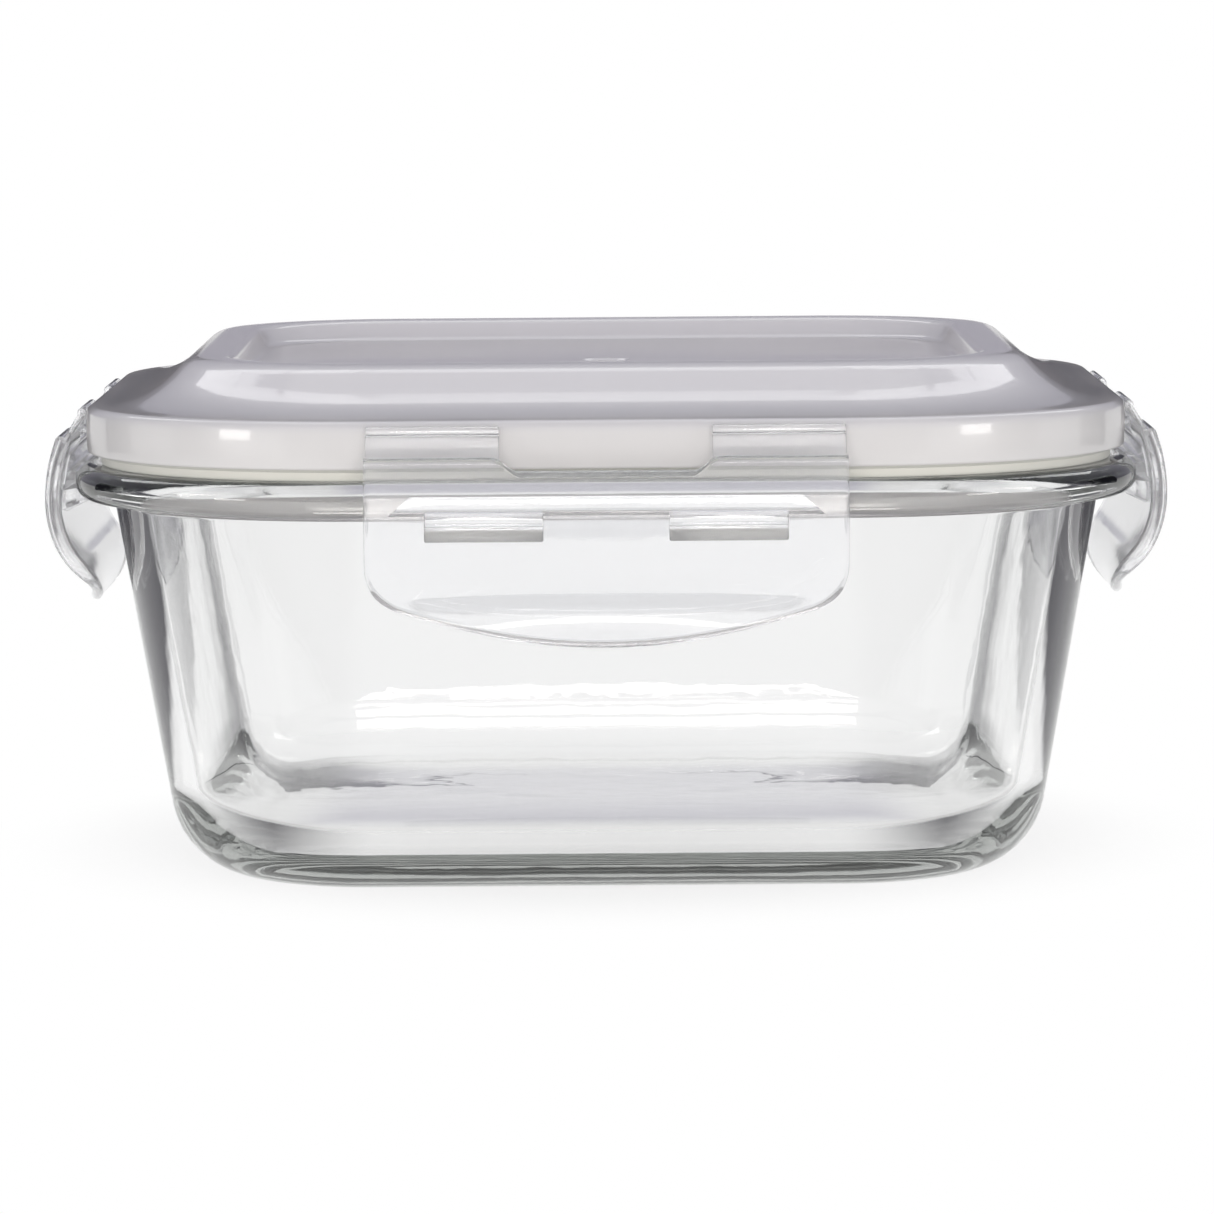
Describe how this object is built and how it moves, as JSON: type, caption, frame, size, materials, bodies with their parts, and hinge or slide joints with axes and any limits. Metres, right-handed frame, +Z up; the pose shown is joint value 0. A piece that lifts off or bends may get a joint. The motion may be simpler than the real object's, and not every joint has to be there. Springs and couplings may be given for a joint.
{
  "type": "lidded glass canister",
  "caption": "Square glass food box with rounded corners and a snap-lock plastic lid, locked on each side by a hinged flap over a silicone seal",
  "frame": {"origin": "middle of the box on the surface it stands on, at the flat underside of the glass", "axes": "+Z up through the lid; +X and +Y square to the sides, with the front flap on -Y"},
  "size_m": [0.1804, 0.1804, 0.0833],
  "materials": {
    "clear_glass": "polished",
    "lid_plastic": "satin, milky and translucent",
    "flap_plastic": "glossy, frosted clear",
    "seal_silicone": "matte"
  },
  "bodies": {
    "glass": {"glass_body": "clear_glass"},
    "lid": {"lid": "lid_plastic", "seal_ring": "seal_silicone"},
    "flap_front": {"hinge_strip_front": "lid_plastic", "flap_front": "flap_plastic"},
    "flap_back": {"hinge_strip_back": "lid_plastic", "flap_back": "flap_plastic"},
    "flap_left": {"hinge_strip_left": "lid_plastic", "flap_left": "flap_plastic"},
    "flap_right": {"hinge_strip_right": "lid_plastic", "flap_right": "flap_plastic"}
  },
  "joints": [
    {"name": "lid_lift", "type": "slide", "parent": "glass", "child": "lid", "axis": [0, 0, 1], "range_m": [0, 0.02]},
    {"name": "flap_front_hinge", "type": "hinge", "parent": "lid", "child": "flap_front", "pos_m": [0, -0.084, 0.0742], "axis": [-1, 0, 0], "range_deg": [0, 130]},
    {"name": "flap_back_hinge", "type": "hinge", "parent": "lid", "child": "flap_back", "pos_m": [0, 0.084, 0.0742], "axis": [1, 0, 0], "range_deg": [0, 130]},
    {"name": "flap_left_hinge", "type": "hinge", "parent": "lid", "child": "flap_left", "pos_m": [-0.084, 0, 0.0742], "axis": [0, 1, 0], "range_deg": [0, 130]},
    {"name": "flap_right_hinge", "type": "hinge", "parent": "lid", "child": "flap_right", "pos_m": [0.084, 0, 0.0742], "axis": [0, -1, 0], "range_deg": [0, 130]}
  ],
  "couplings": [
    {"joint": "flap_front_hinge", "follows": "lid_lift", "rad_per_m": 113.4},
    {"joint": "flap_back_hinge", "follows": "lid_lift", "rad_per_m": 113.4},
    {"joint": "flap_left_hinge", "follows": "lid_lift", "rad_per_m": 113.4},
    {"joint": "flap_right_hinge", "follows": "lid_lift", "rad_per_m": 113.4}
  ]
}
